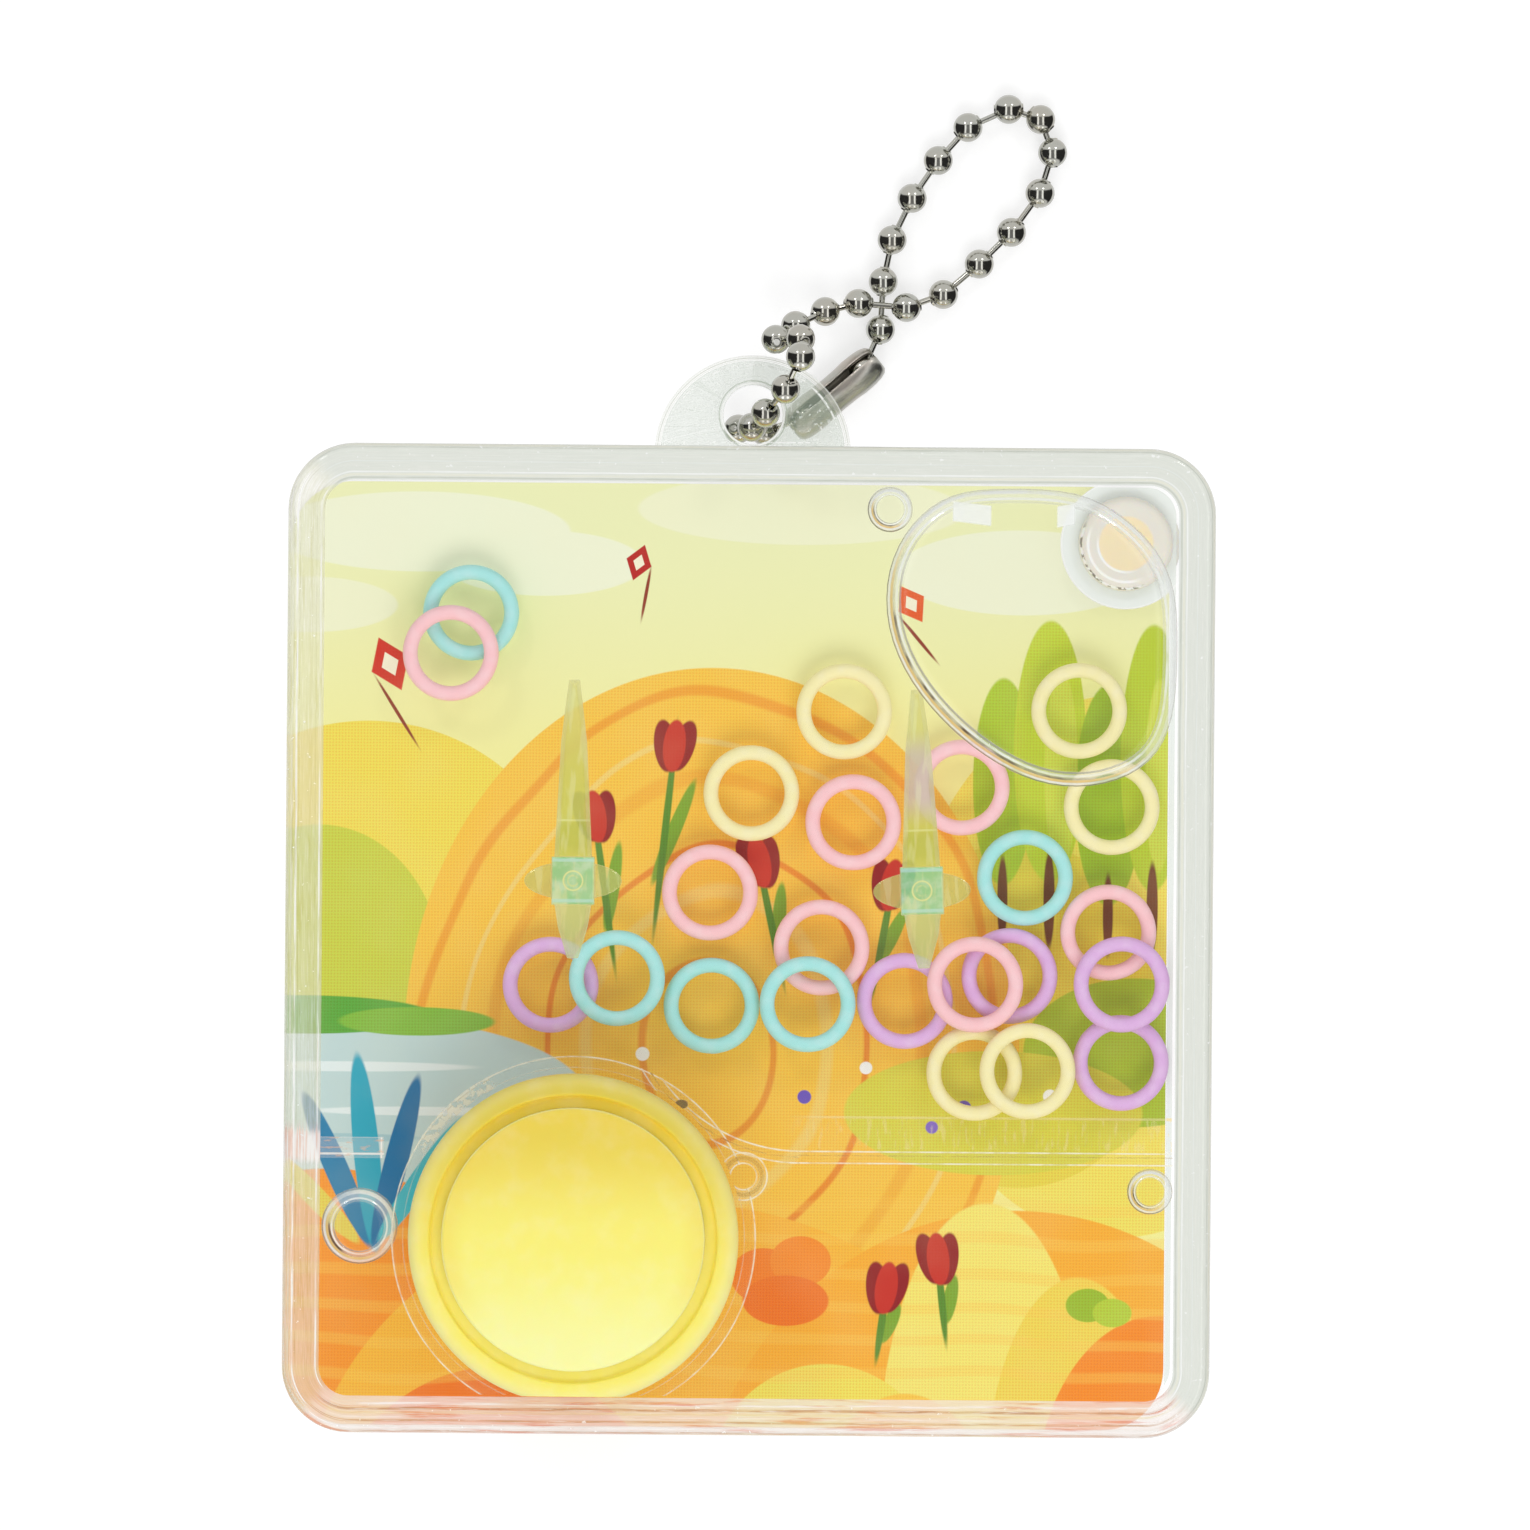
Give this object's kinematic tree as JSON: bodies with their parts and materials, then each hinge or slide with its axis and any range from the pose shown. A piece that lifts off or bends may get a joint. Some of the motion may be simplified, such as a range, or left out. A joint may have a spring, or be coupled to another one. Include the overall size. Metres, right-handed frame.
{
  "type": "water game keychain",
  "caption": "Pocket water game in a flat clear case with a pump button, loose rings, two pegs to catch them on and a ball chain.",
  "frame": {"origin": "the middle of the case's back, on the picture card's rear face, in the plane that the toy lies on", "axes": "+Z out through the clear window, +Y towards the hanging tab, +X to the right of someone who looks at the window"},
  "size_m": [0.075, 0.1089, 0.0158],
  "materials": {
    "clear_front": "clear, polished",
    "clear_back": "clear, polished",
    "clear_guide": "clear, polished",
    "clear_peg": "clear, green tint from behind",
    "picture": "printed, satin",
    "soft_yellow": "soft, satin",
    "soft_white": "soft, translucent",
    "ring_blue": "matt",
    "ring_pink": "matt",
    "ring_cream": "matt",
    "ring_purple": "matt",
    "nickel": "nickel plated"
  },
  "bodies": {
    "case": {"back_case": "clear_back", "front_case": "clear_front", "water_guide": "clear_guide", "picture_card": "picture", "filler_plug": "soft_white", "button_skirt": "soft_yellow", "left_peg": "clear_peg", "right_peg": "clear_peg"},
    "pump_button": {"pump_button": "soft_yellow"},
    "chain": {"chain_beads": "nickel", "chain_links": "nickel", "chain_connector": "nickel"},
    "ring_blue_1": {"ring_blue_1": "ring_blue"},
    "ring_blue_2": {"ring_blue_2": "ring_blue"},
    "ring_blue_3": {"ring_blue_3": "ring_blue"},
    "ring_blue_4": {"ring_blue_4": "ring_blue"},
    "ring_blue_5": {"ring_blue_5": "ring_blue"},
    "ring_pink_1": {"ring_pink_1": "ring_pink"},
    "ring_pink_2": {"ring_pink_2": "ring_pink"},
    "ring_pink_3": {"ring_pink_3": "ring_pink"},
    "ring_pink_4": {"ring_pink_4": "ring_pink"},
    "ring_pink_5": {"ring_pink_5": "ring_pink"},
    "ring_pink_6": {"ring_pink_6": "ring_pink"},
    "ring_pink_7": {"ring_pink_7": "ring_pink"},
    "ring_cream_1": {"ring_cream_1": "ring_cream"},
    "ring_cream_2": {"ring_cream_2": "ring_cream"},
    "ring_cream_3": {"ring_cream_3": "ring_cream"},
    "ring_cream_4": {"ring_cream_4": "ring_cream"},
    "ring_cream_5": {"ring_cream_5": "ring_cream"},
    "ring_cream_6": {"ring_cream_6": "ring_cream"},
    "ring_purple_1": {"ring_purple_1": "ring_purple"},
    "ring_purple_2": {"ring_purple_2": "ring_purple"},
    "ring_purple_3": {"ring_purple_3": "ring_purple"},
    "ring_purple_4": {"ring_purple_4": "ring_purple"},
    "ring_purple_5": {"ring_purple_5": "ring_purple"}
  },
  "joints": [
    {"name": "button_press", "type": "slide", "parent": "case", "child": "pump_button", "axis": [0, 0, -1], "range_m": [0, 0.0025], "stiffness_N_per_m": 1200},
    {"name": "chain_swing", "type": "hinge", "parent": "case", "child": "chain", "pos_m": [0, 0.0426, 0.0055], "axis": [0, 0, 1], "range_deg": [0, 16]},
    {"name": "ring_blue_1_drift", "type": "slide", "parent": "case", "child": "ring_blue_1", "axis": [1, 0, 0], "range_m": [0, 0.0286]},
    {"name": "ring_blue_2_drift", "type": "slide", "parent": "case", "child": "ring_blue_2", "axis": [0.5, 0.866, 0], "range_m": [0, 0.021]},
    {"name": "ring_blue_3_drift", "type": "slide", "parent": "case", "child": "ring_blue_3", "axis": [0.866, -0.5, 0], "range_m": [0, 0.01315]},
    {"name": "ring_blue_4_drift", "type": "slide", "parent": "case", "child": "ring_blue_4", "axis": [0.2588, 0.9659, 0], "range_m": [0, 0.03]},
    {"name": "ring_blue_5_drift", "type": "slide", "parent": "case", "child": "ring_blue_5", "axis": [0.2588, 0.9659, 0], "range_m": [0, 0.00135]},
    {"name": "ring_pink_1_drift", "type": "slide", "parent": "case", "child": "ring_pink_1", "axis": [0.866, 0.5, 0], "range_m": [0, 0.0195]},
    {"name": "ring_pink_2_drift", "type": "slide", "parent": "case", "child": "ring_pink_2", "axis": [0.7071, -0.7071, 0], "range_m": [0, 0.00285]},
    {"name": "ring_pink_3_drift", "type": "slide", "parent": "case", "child": "ring_pink_3", "axis": [-0.7071, 0.7071, 0], "range_m": [0, 0.0221]},
    {"name": "ring_pink_4_drift", "type": "slide", "parent": "case", "child": "ring_pink_4", "axis": [-0.5, 0.866, 0], "range_m": [0, 0.0027]},
    {"name": "ring_pink_5_drift", "type": "slide", "parent": "case", "child": "ring_pink_5", "axis": [0, 1, 0], "range_m": [0, 0.02035]},
    {"name": "ring_pink_6_drift", "type": "slide", "parent": "case", "child": "ring_pink_6", "axis": [0.7071, 0.7071, 0], "range_m": [0, 0.0018]},
    {"name": "ring_pink_7_drift", "type": "slide", "parent": "case", "child": "ring_pink_7", "axis": [0.2588, 0.9659, 0], "range_m": [0, 0.03]},
    {"name": "ring_cream_1_drift", "type": "slide", "parent": "case", "child": "ring_cream_1", "axis": [0.866, 0.5, 0], "range_m": [0, 0.012]},
    {"name": "ring_cream_2_drift", "type": "slide", "parent": "case", "child": "ring_cream_2", "axis": [-0.2588, 0.9659, 0], "range_m": [0, 0.0217]},
    {"name": "ring_cream_3_drift", "type": "slide", "parent": "case", "child": "ring_cream_3", "axis": [0, 1, 0], "range_m": [0, 0.0064]},
    {"name": "ring_cream_4_drift", "type": "slide", "parent": "case", "child": "ring_cream_4", "axis": [0.866, 0.5, 0], "range_m": [0, 0.00115]},
    {"name": "ring_cream_5_drift", "type": "slide", "parent": "case", "child": "ring_cream_5", "axis": [0.9659, -0.2588, 0], "range_m": [0, 0.00425]},
    {"name": "ring_cream_6_drift", "type": "slide", "parent": "case", "child": "ring_cream_6", "axis": [0.9659, -0.2588, 0], "range_m": [0, 0.00575]},
    {"name": "ring_purple_1_drift", "type": "slide", "parent": "case", "child": "ring_purple_1", "axis": [-0.5, 0.866, 0], "range_m": [0, 0.02]},
    {"name": "ring_purple_2_drift", "type": "slide", "parent": "case", "child": "ring_purple_2", "axis": [0.5, 0.866, 0], "range_m": [0, 0.00095]},
    {"name": "ring_purple_3_drift", "type": "slide", "parent": "case", "child": "ring_purple_3", "axis": [0.866, -0.5, 0], "range_m": [0, 0.0014]},
    {"name": "ring_purple_4_drift", "type": "slide", "parent": "case", "child": "ring_purple_4", "axis": [0, 1, 0], "range_m": [0, 0.021]},
    {"name": "ring_purple_5_drift", "type": "slide", "parent": "case", "child": "ring_purple_5", "axis": [-0.2588, 0.9659, 0], "range_m": [0, 0.0028]}
  ]
}
